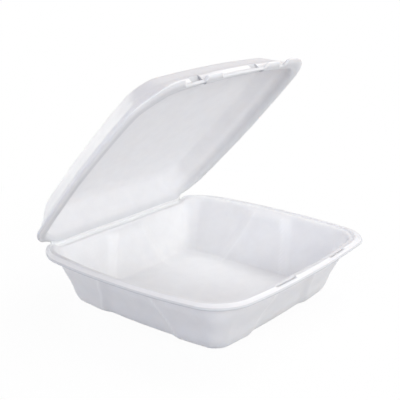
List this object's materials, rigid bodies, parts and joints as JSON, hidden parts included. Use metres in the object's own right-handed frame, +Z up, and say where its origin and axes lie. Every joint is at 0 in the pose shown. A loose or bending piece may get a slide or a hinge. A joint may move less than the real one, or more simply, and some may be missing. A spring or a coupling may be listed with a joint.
{
  "type": "hinged-lid food container",
  "caption": "Shallow square food container of moulded foam with a domed lid on a folding hinge, standing part open, with locking tabs along the front.",
  "frame": {"origin": "middle of the tray's flat underside", "axes": "+Z up out of the open tray, +Y towards the hinge, -Y towards the locking front, +X along the hinge to the right as seen from the front"},
  "size_m": [0.239, 0.2316, 0.2128],
  "materials": {
    "tray": "moulded foam skin",
    "lid": "moulded foam skin"
  },
  "bodies": {
    "tray": {"tray": "tray"},
    "lid": {"lid": "lid"}
  },
  "joints": [
    {"name": "lid_hinge", "type": "hinge", "parent": "tray", "child": "lid", "pos_m": [0, 0.1005, 0.04818], "axis": [-1, 0, 0], "range_deg": [-46.5, 133.5]}
  ]
}
